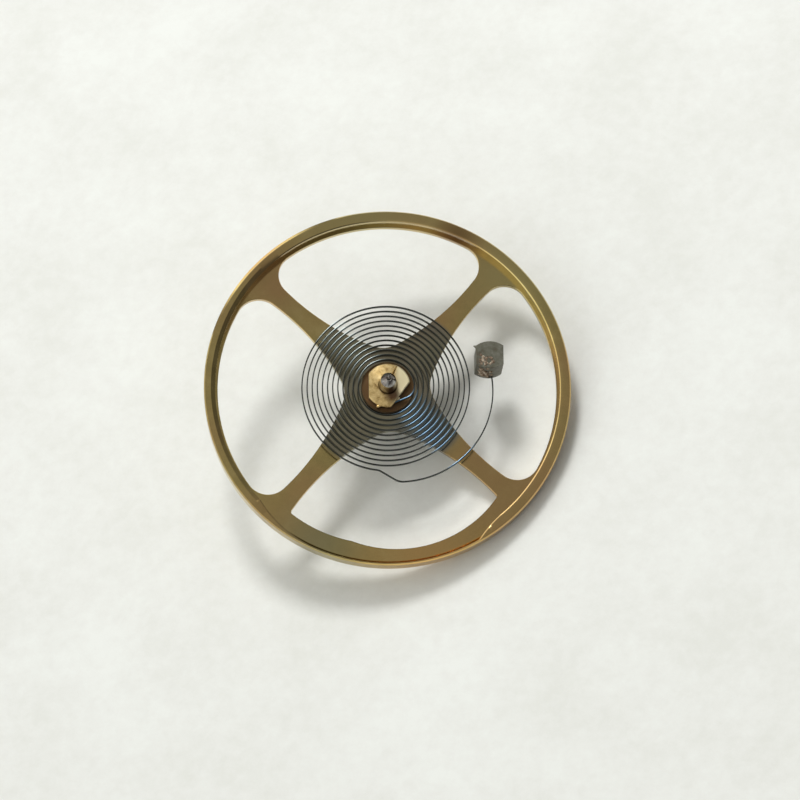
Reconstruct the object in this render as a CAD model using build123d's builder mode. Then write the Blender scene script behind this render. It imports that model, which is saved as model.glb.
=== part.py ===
from build123d import *
import math
import os

os.makedirs("parts", exist_ok=True)

# Balance wheel of a pocket watch with its staff, rollers, hairspring and stud.
# Millimetres. The staff stands on Z, and the origin is at the tip of its lower pivot.
# Azimuths are in degrees, counter-clockwise from +X, seen from above.

# Rim
rim_radius = 8.90
rim_width = 0.54
rim_height = 0.90
rim_rise = 0.60
rim_flat_width = 0.34
rim_bevel_drop = 0.07
outer_edge_chamfer = 0.07
inner_edge_chamfer = 0.05
lower_edge_chamfer = 0.10
ledge_width = 0.12

# Arms and windows: an arm is narrowest at one distance, and its sides are long arcs
arm_count = 4
arm_azimuth = 48.4
arm_least_width = 0.86
arm_least_distance = 6.10
arm_side_radius = 12.0
arm_thickness = 0.30
hub_fillet = 1.40
window_fillet = 1.10

# Poising relief: the raised face of the rim is milled away here, but for a thin lip
relief_lip = 0.12
relief_start_azimuth = 222.0
relief_rise_azimuth = 232.0
relief_lip_azimuth = 244.0
relief_exit_azimuth = 299.5
relief_bend_azimuth = 303.5
relief_end_azimuth = 310.0
relief_rise_share = 0.62
relief_bend_share = 0.40

# Front window: two round cuts leave more of the ledge standing along the relief
front_azimuth = 270.0
front_fillet = 0.15
left_cut_azimuth = 245.0
left_cut_distance = 1.00
left_cut_ledge = 0.44
right_cut_azimuth = 280.0
right_cut_distance = 2.07
right_cut_ledge = 0.24

# Staff, from the bottom
lower_pivot_length = 0.38
lower_cone_length = 0.14
safety_seat_drop = 0.10
staff_neck_length = 0.44
staff_flange_thickness = 0.40
rivet_height = 0.08
collet_lift = 0.12
upper_arbor_length = 0.92
upper_shoulder_length = 0.14
upper_cone_length = 0.12
upper_pivot_length = 0.36
pivot_radius = 0.07
pivot_tip_round = 0.03
cone_radius = 0.22
safety_seat_radius = 0.30
roller_seat_radius = 0.36
staff_neck_radius = 0.55
staff_flange_radius = 1.00
wheel_seat_radius = 0.62
rivet_radius = 0.74
collet_seat_radius = 0.435
upper_arbor_radius = 0.37

# Rollers and impulse pin
safety_radius = 0.72
safety_thickness = 0.30
safety_hub_radius = 0.52
safety_hub_length = 0.50
crescent_radius = 0.34
crescent_depth = 0.16
roller_radius = 1.70
roller_thickness = 0.34
roller_edge_chamfer = 0.05
impulse_azimuth = 0.0
impulse_distance = 1.32
impulse_pin_radius = 0.19
impulse_flat_depth = 0.10
impulse_pin_reach = 0.48
impulse_tip_chamfer = 0.03

# Collet
collet_inner_wall = 0.205
collet_outer_wall = 0.13
collet_base_height = 0.20
collet_step = 0.18
collet_height = 0.60
collet_edge_chamfer = 0.05
collet_slit_width = 0.06
collet_slit_azimuth = 65.0
left_flat_azimuth = 180.0
left_flat_depth = 0.17
right_flat_azimuth = 324.0
right_flat_depth = 0.33

# Hairspring strip and coils
strip_thickness = 0.06
strip_height = 0.18
spring_lift = 0.40
coil_inner_gap = 0.03
coil_outer_radius = 4.21
coil_full_turns = 11
coil_drift = 0.004
kink_azimuth = 262.8
tail_azimuth = 22.0
tail_arc_radius = 0.60
tail_reach = 0.36
kink_arc_radius = 0.45
kink_turn = 24.0
lead_arc_radius = 0.80
terminal_gap = 0.39
terminal_shift = 0.53
terminal_shift_azimuth = 340.0
terminal_end_azimuth = 6.0
gap_steps_per_turn = 90

# Stud and the two taper pins
stud_radius = 0.67
stud_height = 1.90
stud_clearance = 0.32
stud_stand_off = 0.83
stud_edge_chamfer = 0.10
stud_hole_radius = 0.17
stud_strip_offset = 0.11
stud_strip_reach = 0.52
stud_pin_overhang = 0.10
collet_hole_radius = 0.16
collet_strip_offset = 0.09
collet_pin_tip = 0.30

# Clearances and the overrun of cuts
press_clearance = 0.004
pin_clearance = 0.008
overrun = 0.50

# Levels, worked out from the lengths above
safety_bottom = lower_pivot_length + lower_cone_length + safety_seat_drop
roller_bottom = safety_bottom + safety_thickness + safety_hub_length
roller_top = roller_bottom + roller_thickness
flange_bottom = roller_top + staff_neck_length
arm_bottom = flange_bottom + staff_flange_thickness
arm_top = arm_bottom + arm_thickness
rim_top = arm_top + rim_rise
rim_bottom = rim_top - rim_height
rivet_top = arm_top + rivet_height
collet_bottom = arm_top + collet_lift
collet_top = collet_bottom + collet_height
spring_level = collet_bottom + spring_lift
upper_arbor_top = collet_top + upper_arbor_length
upper_shoulder_top = upper_arbor_top + upper_shoulder_length
upper_cone_top = upper_shoulder_top + upper_cone_length
staff_top = upper_cone_top + upper_pivot_length
stud_bottom = arm_top + stud_clearance

# Radii and lengths that follow from the sizes above
rim_inner_radius = rim_radius - rim_width
window_radius = rim_inner_radius - ledge_width
left_cut_radius = window_radius - left_cut_ledge - left_cut_distance
right_cut_radius = window_radius - right_cut_ledge - right_cut_distance
collet_hole_distance = collet_seat_radius + collet_inner_wall + collet_hole_radius
tail_offset = collet_hole_distance + collet_strip_offset
collet_radius = collet_hole_distance + collet_hole_radius + collet_outer_wall
collet_base_radius = collet_radius + collet_step
coil_inner_radius = collet_base_radius + coil_inner_gap
terminal_radius = coil_outer_radius + terminal_gap
collet_pin_tail = math.sqrt(collet_base_radius**2 - tail_offset**2)


def polar(radius, azimuth):
    """A point in the plane, from its radius and its azimuth in degrees."""
    return Vector(radius * math.cos(math.radians(azimuth)), radius * math.sin(math.radians(azimuth)))


def azimuth_of(vector):
    """The azimuth of a vector in degrees."""
    return math.degrees(math.atan2(vector.Y, vector.X))


def hand_in(part, label):
    """Names a finished piece and writes its file."""
    part.label = label
    export_step(part, f"parts/{label}.step")


# Balance wheel: windows between the arms, rim turned as a ring, relief milled, web joined
def window_between(arm, next_arm):
    """The open space between two arms, given by their azimuths, with its corners still sharp."""
    with BuildSketch() as window:
        Circle(window_radius)
        for azimuth, side in ((arm, arm + 90), (next_arm, next_arm - 90)):
            middle = polar(arm_least_distance, azimuth)
            with Locations(middle + polar(arm_least_width / 2 + arm_side_radius, side)):
                Circle(arm_side_radius, mode=Mode.INTERSECT)
    return window.sketch


def rounded(window, outer_fillet):
    """A window with its corner at the hub and its corners at the rim rounded."""
    with BuildSketch() as smooth:
        add(window)
        hub_corner = smooth.vertices().sort_by_distance((0, 0))[0]
        fillet(hub_corner, hub_fillet)
        fillet(
            smooth.vertices().filter_by(
                lambda corner: math.hypot(corner.X, corner.Y) > arm_least_distance
            ),
            outer_fillet,
        )
    return smooth.sketch


arm_step = 360 / arm_count
windows = []
for arm in range(arm_count):
    azimuth = arm_azimuth + arm * arm_step
    window = window_between(azimuth, azimuth + arm_step)
    if azimuth < front_azimuth < azimuth + arm_step:
        with BuildSketch() as front:
            with Locations(polar(left_cut_distance, left_cut_azimuth)):
                Circle(left_cut_radius)
            with Locations(polar(right_cut_distance, right_cut_azimuth)):
                Circle(right_cut_radius)
            add(window, mode=Mode.INTERSECT)
        windows.append(rounded(front.sketch, front_fillet))
    else:
        windows.append(rounded(window, window_fillet))

with BuildPart() as balance_wheel:
    with BuildSketch(Plane.XZ):
        with BuildLine():
            Polyline(
                (rim_inner_radius, rim_bottom),
                (rim_radius - lower_edge_chamfer, rim_bottom),
                (rim_radius, rim_bottom + lower_edge_chamfer),
                (rim_radius, rim_top - outer_edge_chamfer),
                (rim_radius - outer_edge_chamfer, rim_top),
                (rim_radius - rim_flat_width, rim_top),
                (rim_inner_radius + inner_edge_chamfer, rim_top - rim_bevel_drop),
                (rim_inner_radius, rim_top - rim_bevel_drop - inner_edge_chamfer),
                close=True,
            )
        make_face()
    revolve(axis=Axis.Z)
    lip_radius = rim_radius - relief_lip
    cut_radius = rim_inner_radius - overrun
    raised_width = lip_radius - rim_inner_radius
    with BuildSketch(Plane.XY.offset(arm_top)):
        with BuildLine():
            start = polar(rim_inner_radius, relief_start_azimuth)
            rise = polar(rim_inner_radius + relief_rise_share * raised_width, relief_rise_azimuth)
            lip_start = polar(lip_radius, relief_lip_azimuth)
            lip_middle = polar(lip_radius, (relief_lip_azimuth + relief_exit_azimuth) / 2)
            lip_end = polar(lip_radius, relief_exit_azimuth)
            bend = polar(rim_inner_radius + relief_bend_share * raised_width, relief_bend_azimuth)
            end = polar(rim_inner_radius, relief_end_azimuth)
            inner_end = polar(cut_radius, relief_end_azimuth)
            inner_middle = polar(cut_radius, (relief_start_azimuth + relief_end_azimuth) / 2)
            inner_start = polar(cut_radius, relief_start_azimuth)
            ThreePointArc(start, rise, lip_start)
            ThreePointArc(lip_start, lip_middle, lip_end)
            ThreePointArc(lip_end, bend, end)
            Line(end, inner_end)
            ThreePointArc(inner_end, inner_middle, inner_start)
            Line(inner_start, start)
        make_face()
    extrude(amount=rim_rise + overrun, mode=Mode.SUBTRACT)

    with BuildSketch(Plane.XY.offset(arm_bottom)):
        Circle(rim_radius - rim_width / 2)
        Circle(wheel_seat_radius + press_clearance, mode=Mode.SUBTRACT)
        for window in windows:
            add(window, mode=Mode.SUBTRACT)
    extrude(amount=arm_thickness)

hand_in(balance_wheel.part, "balance_wheel")

# Balance staff: one turned profile from the lower tip to the upper tip
with BuildPart() as balance_staff:
    with BuildSketch(Plane.XZ):
        with BuildLine():
            Polyline(
                (0, 0),
                (pivot_radius - pivot_tip_round, 0),
                (pivot_radius, pivot_tip_round),
                (pivot_radius, lower_pivot_length),
                (cone_radius, lower_pivot_length + lower_cone_length),
                (safety_seat_radius, lower_pivot_length + lower_cone_length),
                (safety_seat_radius, roller_bottom),
                (roller_seat_radius, roller_bottom),
                (roller_seat_radius, roller_top),
                (staff_neck_radius, roller_top),
                (staff_neck_radius, flange_bottom),
                (staff_flange_radius, flange_bottom),
                (staff_flange_radius, arm_bottom),
                (wheel_seat_radius, arm_bottom),
                (wheel_seat_radius, arm_top),
                (rivet_radius, arm_top),
                (rivet_radius - rivet_height / 2, rivet_top),
                (collet_seat_radius, rivet_top),
                (collet_seat_radius, collet_top),
                (upper_arbor_radius, upper_arbor_top),
                (cone_radius, upper_shoulder_top),
                (pivot_radius, upper_cone_top),
                (pivot_radius, staff_top - pivot_tip_round),
                (pivot_radius - pivot_tip_round, staff_top),
                (0, staff_top),
                close=True,
            )
        make_face()
    revolve(axis=Axis.Z)

hand_in(balance_staff.part, "balance_staff")

# Roller table, with the hole that takes the impulse pin
impulse_place = polar(impulse_distance, impulse_azimuth)


def impulse_section(radius, flat_depth):
    """Round on the side of the staff, flat on the outer side, as an impulse pin is ground."""
    with BuildSketch(Plane.XY) as section:
        with Locations(impulse_place):
            Circle(radius)
            with Locations(polar(2 * radius - flat_depth, impulse_azimuth)):
                Rectangle(2 * radius, 2 * radius, rotation=impulse_azimuth, mode=Mode.SUBTRACT)
    return section.sketch


with BuildPart() as roller_table:
    with BuildSketch(Plane.XY.offset(roller_bottom)):
        Circle(roller_radius)
        Circle(roller_seat_radius + press_clearance, mode=Mode.SUBTRACT)
        add(impulse_section(impulse_pin_radius + press_clearance, impulse_flat_depth), mode=Mode.SUBTRACT)
    extrude(amount=roller_thickness)
    rims = roller_table.edges().filter_by(GeomType.CIRCLE)
    chamfer(rims.filter_by(lambda edge: edge.radius > roller_radius - press_clearance), roller_edge_chamfer)

hand_in(roller_table.part, "roller_table")

# Impulse pin: ruby, flush with the top of the roller table
with BuildPart() as impulse_pin:
    with BuildSketch(Plane.XY.offset(roller_bottom - impulse_pin_reach)):
        add(impulse_section(impulse_pin_radius, impulse_flat_depth))
    extrude(amount=impulse_pin_reach + roller_thickness)
    chamfer(impulse_pin.faces().sort_by(Axis.Z)[0].edges(), impulse_tip_chamfer)

hand_in(impulse_pin.part, "impulse_pin")

# Safety roller: a disc with a crescent under the impulse pin, and a hub up to the roller table
with BuildPart() as safety_roller:
    with BuildSketch(Plane.XY.offset(safety_bottom)):
        Circle(safety_radius)
        Circle(safety_seat_radius + press_clearance, mode=Mode.SUBTRACT)
        with Locations(polar(safety_radius + crescent_radius - crescent_depth, impulse_azimuth)):
            Circle(crescent_radius, mode=Mode.SUBTRACT)
    extrude(amount=safety_thickness)
    with BuildSketch(Plane.XY.offset(safety_bottom + safety_thickness)):
        Circle(safety_hub_radius)
        Circle(safety_seat_radius + press_clearance, mode=Mode.SUBTRACT)
    extrude(amount=safety_hub_length)

hand_in(safety_roller.part, "safety_roller")

# Hairspring path, at the middle of the strip: tail, coils, kink, lead and terminal curve
tail_direction = polar(1, tail_azimuth)
tail_side = polar(1, tail_azimuth - 90)
tail_foot = tail_side * tail_offset
tail_run = math.sqrt((coil_inner_radius - tail_arc_radius) ** 2 - (tail_offset - tail_arc_radius) ** 2)
coil_start_azimuth = azimuth_of(tail_direction * tail_run + tail_side * (tail_offset - tail_arc_radius))
coil_sweep = 360 * coil_full_turns + kink_azimuth - coil_start_azimuth
coil_pitch = (coil_outer_radius - coil_inner_radius) * 360 / coil_sweep
half_turns = int((coil_sweep - 90) // 180)
last_sweep = coil_sweep - 90 - 180 * half_turns


def coil_arc_radius(half_turn):
    """The radius of one half turn; the odd ones are wider, so that the coils drift to the front."""
    growth = coil_pitch * (half_turn / 2 - 1 / 8)
    return coil_inner_radius + growth + (half_turn % 2) * coil_drift / 2


tail_start = tail_foot - tail_direction * tail_reach
with BuildLine() as spring_path:
    piece = PolarLine(
        tail_start + Vector(0, 0, spring_level), tail_reach + tail_run, angle=tail_azimuth
    )
    piece = JernArc(piece @ 1, piece % 1, tail_arc_radius, coil_start_azimuth + 90 - tail_azimuth)
    piece = JernArc(piece @ 1, piece % 1, coil_inner_radius + coil_pitch / 8, 90)
    for half_turn in range(1, half_turns + 1):
        piece = JernArc(piece @ 1, piece % 1, coil_arc_radius(half_turn), 180)
    piece = JernArc(piece @ 1, piece % 1, coil_arc_radius(half_turns + 1), last_sweep)
    piece = JernArc(piece @ 1, piece % 1, kink_arc_radius, -kink_turn)

    lead = piece % 1
    lead_side = lead.rotate(Axis.Z, 90)
    terminal_centre = polar(terminal_shift, terminal_shift_azimuth) + Vector(0, 0, spring_level)
    reach = piece @ 1 + lead_side * lead_arc_radius - terminal_centre
    along = reach.dot(lead)
    slack = along**2 - reach.length**2 + (terminal_radius - lead_arc_radius) ** 2
    lead_run = math.sqrt(slack) - along
    terminal_azimuth = azimuth_of(reach + lead * lead_run)
    piece = Line(piece @ 1, piece @ 1 + lead * lead_run)
    piece = JernArc(piece @ 1, lead, lead_arc_radius, terminal_azimuth + 90 - azimuth_of(lead))
    piece = JernArc(piece @ 1, piece % 1, terminal_radius, terminal_end_azimuth - terminal_azimuth)
    terminal_end = piece @ 1
    end_direction = piece % 1
    piece = Line(terminal_end, terminal_end + end_direction * (stud_stand_off + stud_strip_reach))

# Hairspring: one unbroken strip
spring_wire = spring_path.wires()[0]
with BuildPart() as hairspring:
    with BuildSketch(Plane(origin=spring_wire @ 0, x_dir=(0, 0, 1), z_dir=spring_wire % 0)):
        Rectangle(strip_height, strip_thickness)
    sweep(path=spring_wire)

hand_in(hairspring.part, "hairspring")


def least_gap(path, steps_per_turn):
    """The least distance between strip faces of different turns, measured on points of the path."""
    steps = steps_per_turn * (coil_full_turns + 2)
    points = [path @ (step / steps) for step in range(steps + 1)]
    spacing = path.length / steps
    apart = math.ceil(math.pi * coil_inner_radius / spacing)
    nearest = min(
        (first - second).length
        for place, first in enumerate(points)
        for second in points[place + apart:]
    )
    return nearest - strip_thickness


print(f"hairspring pitch {coil_pitch:.3f} mm, length {spring_wire.length:.1f} mm")
print(f"hairspring least gap to itself {least_gap(spring_wire, gap_steps_per_turn):.3f} mm")
strip_volume = strip_height * strip_thickness * spring_wire.length
print(f"hairspring volume {hairspring.part.volume:.4f}, section times length {strip_volume:.4f} mm3")

# Collet: base and boss with two flats, a saw slit and the hole for the hairspring's pin
collet_hole_centre = tail_side * collet_hole_distance + Vector(0, 0, spring_level)
with BuildPart() as collet:
    with BuildSketch(Plane.XY.offset(collet_bottom)):
        Circle(collet_base_radius)
    extrude(amount=collet_base_height)
    with BuildSketch(Plane.XY.offset(collet_bottom + collet_base_height)):
        Circle(collet_radius)
        for azimuth, depth in (
            (left_flat_azimuth, left_flat_depth),
            (right_flat_azimuth, right_flat_depth),
        ):
            with Locations(polar(2 * collet_radius - depth, azimuth)):
                Rectangle(2 * collet_radius, 2 * collet_radius, rotation=azimuth, mode=Mode.SUBTRACT)
    extrude(amount=collet_height - collet_base_height)
    chamfer(collet.faces().sort_by(Axis.Z)[-1].edges(), collet_edge_chamfer)
    with BuildSketch(Plane.XY.offset(collet_bottom)):
        Circle(collet_seat_radius + press_clearance)
        with Locations(polar(collet_base_radius, collet_slit_azimuth)):
            Rectangle(2 * collet_base_radius, collet_slit_width, rotation=collet_slit_azimuth)
    extrude(amount=collet_height, mode=Mode.SUBTRACT)
    with BuildSketch(Plane(origin=collet_hole_centre, z_dir=tail_direction)):
        Circle(collet_hole_radius)
    extrude(amount=collet_radius, both=True, mode=Mode.SUBTRACT)

hand_in(collet.part, "collet")


def taper_pin_section(radius, strip_offset):
    """A round pin filed flat where it presses on the strip, seen along the pin."""
    flat = strip_offset - strip_thickness / 2 - pin_clearance
    with BuildSketch(Plane.XY) as section:
        Circle(radius - pin_clearance)
        with Locations((flat + radius, 0)):
            Rectangle(2 * radius, 2 * radius, mode=Mode.SUBTRACT)
    return section.sketch


# Collet pin: its thick end stands out at the lower left
with BuildPart() as collet_pin:
    with BuildSketch(Plane(origin=collet_hole_centre, x_dir=tail_side, z_dir=tail_direction)):
        add(taper_pin_section(collet_hole_radius, collet_strip_offset))
    extrude(amount=collet_pin_tip)
    with BuildSketch(Plane(origin=collet_hole_centre, x_dir=-tail_side, z_dir=-tail_direction)):
        add(taper_pin_section(collet_hole_radius, collet_strip_offset).mirror(Plane.YZ))
    extrude(amount=collet_pin_tail)

hand_in(collet_pin.part, "collet_pin")

# Stud: a cylinder with a cross hole for the end of the hairspring
outward = end_direction.rotate(Axis.Z, -90)
stud_hole_centre = terminal_end + end_direction * stud_stand_off - outward * stud_strip_offset
stud_plane = Plane(origin=(stud_hole_centre.X, stud_hole_centre.Y, stud_bottom))
with BuildPart() as stud:
    with BuildSketch(stud_plane):
        Circle(stud_radius)
    extrude(amount=stud_height)
    chamfer(stud.faces().sort_by(Axis.Z)[-1].edges(), stud_edge_chamfer)
    with BuildSketch(Plane(origin=stud_hole_centre, z_dir=end_direction)):
        Circle(stud_hole_radius)
    extrude(amount=2 * stud_radius, both=True, mode=Mode.SUBTRACT)

hand_in(stud.part, "stud")

# Stud pin: through the cross hole, beside the strip
with BuildPart() as stud_pin:
    with BuildSketch(Plane(origin=stud_hole_centre, x_dir=outward, z_dir=end_direction)):
        add(taper_pin_section(stud_hole_radius, stud_strip_offset))
    extrude(amount=stud_radius + stud_pin_overhang, both=True)

hand_in(stud_pin.part, "stud_pin")
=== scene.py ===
import math

import bpy
from mathutils import Matrix, Vector, kdtree, noise
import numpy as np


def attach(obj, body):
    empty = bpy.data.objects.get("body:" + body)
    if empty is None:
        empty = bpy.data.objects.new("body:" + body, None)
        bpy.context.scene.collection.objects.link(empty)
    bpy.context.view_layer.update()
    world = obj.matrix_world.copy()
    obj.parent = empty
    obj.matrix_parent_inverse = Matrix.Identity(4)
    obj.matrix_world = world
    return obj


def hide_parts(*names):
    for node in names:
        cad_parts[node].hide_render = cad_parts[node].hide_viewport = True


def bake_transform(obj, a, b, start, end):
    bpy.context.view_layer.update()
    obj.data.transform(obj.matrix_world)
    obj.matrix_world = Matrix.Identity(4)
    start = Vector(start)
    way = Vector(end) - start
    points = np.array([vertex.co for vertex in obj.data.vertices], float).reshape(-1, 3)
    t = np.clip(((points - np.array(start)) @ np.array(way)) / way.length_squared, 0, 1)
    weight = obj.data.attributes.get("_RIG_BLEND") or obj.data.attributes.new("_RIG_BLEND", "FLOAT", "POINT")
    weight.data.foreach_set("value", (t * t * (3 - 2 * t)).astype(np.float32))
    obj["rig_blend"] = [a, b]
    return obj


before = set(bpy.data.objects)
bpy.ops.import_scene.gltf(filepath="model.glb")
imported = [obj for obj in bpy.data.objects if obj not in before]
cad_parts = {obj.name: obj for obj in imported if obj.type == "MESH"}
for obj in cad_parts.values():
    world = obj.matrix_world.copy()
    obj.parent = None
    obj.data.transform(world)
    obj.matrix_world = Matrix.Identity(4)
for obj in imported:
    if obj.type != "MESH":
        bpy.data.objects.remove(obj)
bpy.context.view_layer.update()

# Balance wheel of a pocket watch, lying tilted on white paper.
# Each piece is modelled at one Blender unit to the millimetre, on the staff's axis, and brought
# to metres when it is finished. Azimuths are in degrees from +X, seen from above.

MILLIMETRE = 0.001

# Levels and radii of the CAD model, in millimetres
RIM_RADIUS = 8.90
RIM_INNER_RADIUS = 8.36
WINDOW_RADIUS = 8.24
LIP_RADIUS = 8.78
RIM_BOTTOM = 2.60
RIM_TOP = 3.50
ARM_BOTTOM = 2.60
ARM_TOP = 2.90
COLLET_BOTTOM = 3.02
COLLET_STEP_LEVEL = 3.22
COLLET_TOP = 3.62
SPRING_LEVEL = 3.42
STRIP_HEIGHT = 0.18
STRIP_THICKNESS = 0.06
STAFF_TOP = 5.16
STUD_BOTTOM = 3.22
STUD_TOP = 5.12
STUD_RADIUS = 0.67
SAFETY_BOTTOM = 0.62
SAFETY_TOP = 0.92
ROLLER_BOTTOM = 1.42
ROLLER_TOP = 1.76


def polar(radius, azimuth):
    """A point in the plane from its radius and its azimuth in degrees."""
    angle = math.radians(azimuth)
    return Vector((radius * math.cos(angle), radius * math.sin(angle)))


def azimuth_of(vector):
    return math.degrees(math.atan2(vector.y, vector.x))


def arc(centre, radius, start, end, step=3.0):
    """Points along an arc, both ends included."""
    count = max(2, math.ceil(abs(end - start) / step))
    return [Vector(centre) + polar(radius, start + (end - start) * i / count)
            for i in range(count + 1)]


def turn_towards(direction):
    """The turn that points +Z along a direction."""
    return direction.to_track_quat("Z", "Y").to_matrix().to_4x4()


def turn_along(along, place):
    """The place of a piece made on Z that is to lie along a level direction: its own X points down
    the side."""
    forward = Vector((along.x, along.y, 0))
    side = Vector((along.y, -along.x, 0))
    turn = Matrix((side, forward.cross(side), forward)).transposed().to_4x4()
    return Matrix.Translation(Vector(place)) @ turn


# Camera, placed before the making. It looks down on the wheel from a little below the middle of
# the picture, and +X stays to the right.

PIXELS_PER_MM = 20.6
PICTURE = 800
CAMERA_DISTANCE = 180.0
CAMERA_AZIMUTH = 261.5
CAMERA_OFF_AXIS = 15.45
AIM_LEVEL = 3.12
WHEEL_CENTRE_PIXEL = (387.5, 387.8)
SENSOR_WIDTH = 36.0


def place_camera():
    off = math.radians(CAMERA_OFF_AXIS)
    side = polar(math.sin(off), CAMERA_AZIMUTH)
    backward = Vector((side.x, side.y, math.cos(off)))
    right = (Vector((1, 0, 0)) - backward * backward.x).normalized()
    up = backward.cross(right)
    across = (PICTURE / 2 - WHEEL_CENTRE_PIXEL[0]) / PIXELS_PER_MM
    down = (PICTURE / 2 - WHEEL_CENTRE_PIXEL[1]) / PIXELS_PER_MM
    place = Vector((0, 0, AIM_LEVEL)) + right * across - up * down + backward * CAMERA_DISTANCE
    data = bpy.data.cameras.new("camera")
    data.sensor_width = SENSOR_WIDTH
    data.lens = data.sensor_width * CAMERA_DISTANCE * PIXELS_PER_MM / PICTURE
    data.clip_start, data.clip_end = 0.01, 10.0
    camera = bpy.data.objects.new("camera", data)
    bpy.context.scene.collection.objects.link(camera)
    turn = Matrix((right, up, backward)).transposed().to_4x4()
    camera.matrix_world = Matrix.Translation(place * MILLIMETRE) @ turn
    bpy.context.scene.camera = camera


place_camera()


# Ways of making

MERGE_DISTANCE = 1e-4
THROUGH = 3.0           # depth of a hole that goes right through a small piece


def nothing_selected():
    if bpy.context.object and bpy.context.object.mode == "EDIT":
        bpy.ops.object.mode_set(mode="OBJECT")
    bpy.ops.object.select_all(action="DESELECT")


def in_hand(piece):
    """Makes a piece the only one selected and active."""
    nothing_selected()
    piece.select_set(True)
    bpy.context.view_layer.objects.active = piece


def open_up(piece):
    """Opens a piece in edit mode with all of it selected."""
    in_hand(piece)
    bpy.ops.object.mode_set(mode="EDIT")
    bpy.ops.mesh.select_all(action="SELECT")


def settle(piece):
    """Moves a piece's place, turn and scale into its mesh."""
    in_hand(piece)
    bpy.ops.object.transform_apply(location=True, rotation=True, scale=True)


def seal(piece):
    """Merges the points that meet and turns all the faces outwards."""
    open_up(piece)
    bpy.ops.mesh.remove_doubles(threshold=MERGE_DISTANCE)
    bpy.ops.mesh.normals_make_consistent(inside=False)
    bpy.ops.object.mode_set(mode="OBJECT")


def turned(name, profile, steps, closed=False):
    """Turns a piece on Z: each corner of the profile is one more ring, extruded and then sized."""
    nothing_selected()
    radius, height = profile[0]
    bpy.ops.mesh.primitive_circle_add(
        vertices=steps, radius=radius, fill_type="NOTHING" if closed else "NGON",
        location=(0, 0, height),
    )
    piece = bpy.context.object
    piece.name = name
    settle(piece)
    open_up(piece)
    extrude = bpy.ops.mesh.extrude_edges_move if closed else bpy.ops.mesh.extrude_region_move
    for next_radius, next_height in profile[1:] + (profile[:1] if closed else []):
        extrude(TRANSFORM_OT_translate={"value": (0, 0, next_height - height)})
        share = next_radius / radius
        bpy.ops.transform.resize(value=(share, share, 1), center_override=(0, 0, 0))
        radius, height = next_radius, next_height
    seal(piece)
    return piece


def flat_curve(name, lines, closed):
    """A curve in the plane along lines of points, filled where they are closed."""
    curve = bpy.data.curves.new(name, "CURVE")
    curve.dimensions = "2D"
    curve.fill_mode = "BOTH" if closed else "NONE"
    for line in lines:
        spline = curve.splines.new("POLY")
        spline.points.add(len(line) - 1)
        for point, place in zip(spline.points, line):
            point.co = (place.x, place.y, 0, 1)
        spline.use_cyclic_u = closed
    return curve


def mesh_at(name, curve, level):
    """Lays a flat curve at a level and turns it into a mesh."""
    piece = bpy.data.objects.new(name, curve)
    bpy.context.scene.collection.objects.link(piece)
    piece.location.z = level
    in_hand(piece)
    bpy.ops.object.convert(target="MESH")
    piece = bpy.context.object
    settle(piece)
    return piece


def cut_from_sheet(name, loops, bottom, top, edge):
    """Cuts a flat piece out along closed outlines, with a small chamfer on its edges."""
    curve = flat_curve(name, loops, True)
    curve.extrude = (top - bottom) / 2 - edge
    curve.bevel_depth = edge
    curve.bevel_resolution = 0
    curve.offset = -edge
    piece = mesh_at(name, curve, (top + bottom) / 2)
    seal(piece)
    return piece


def combine(piece, tool, operation):
    """Joins a second mesh to a piece or cuts it away, and throws the second away."""
    in_hand(piece)
    modifier = piece.modifiers.new("combine", "BOOLEAN")
    modifier.operation = operation
    modifier.solver = "EXACT"
    modifier.object = tool
    bpy.ops.object.modifier_apply(modifier=modifier.name)
    bpy.data.objects.remove(tool)


def drill(piece, steps, radius, depth, place):
    """Drills a round hole of a given depth, turned and centred as its place says."""
    nothing_selected()
    bpy.ops.mesh.primitive_cylinder_add(vertices=steps, radius=radius, depth=depth)
    core = bpy.context.object
    core.matrix_world = place
    settle(core)
    combine(piece, core, "DIFFERENCE")


def file_flat(piece, distance):
    """Files away all that stands further out along +X than a distance."""
    open_up(piece)
    bpy.ops.mesh.bisect(plane_co=(distance, 0, 0), plane_no=(1, 0, 0),
                        use_fill=True, clear_outer=True)
    bpy.ops.object.mode_set(mode="OBJECT")


def finish_piece(piece, body, material, nodes=(), smooth_angle=32.0):
    """Brings a piece to metres, shades it, gives it its finish and hangs it on its body."""
    piece.scale = (MILLIMETRE,) * 3
    settle(piece)
    bpy.ops.object.shade_smooth_by_angle(angle=math.radians(smooth_angle))
    nothing_selected()
    piece.data.materials.clear()
    piece.data.materials.append(material)
    if nodes:
        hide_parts(*nodes)
    if body:
        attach(piece, body)


# Finishes

def colour(code):
    """An sRGB hex value as linear red, green, blue and alpha."""
    channels = [int(code[i:i + 2], 16) / 255 for i in (1, 3, 5)]
    return tuple(c / 12.92 if c <= 0.04045 else ((c + 0.055) / 1.055) ** 2.4
                 for c in channels) + (1.0,)


def add_node(tree, kind, inputs=None, stops=None, **settings):
    """Adds a node with its settings. An input is a value or the socket that feeds it."""
    made = tree.nodes.new(kind)
    for key, value in settings.items():
        setattr(made, key, value)
    for key, value in (inputs or {}).items():
        if isinstance(value, bpy.types.NodeSocket):
            tree.links.new(value, made.inputs[key])
        else:
            made.inputs[key].default_value = value
    for index, (place, shade) in enumerate(stops or ()):
        elements = made.color_ramp.elements
        element = elements[index] if index < len(elements) else elements.new(place)
        element.position, element.color = place, shade
    return made


def new_material(name):
    """A new material, its node tree, its shader and the coordinates that its patterns read."""
    material = bpy.data.materials.new(name)
    material.use_nodes = True
    tree = material.node_tree
    shader = tree.nodes["Principled BSDF"]
    place = add_node(tree, "ShaderNodeTexCoord").outputs["Object"]
    return material, tree, shader, place


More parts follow.
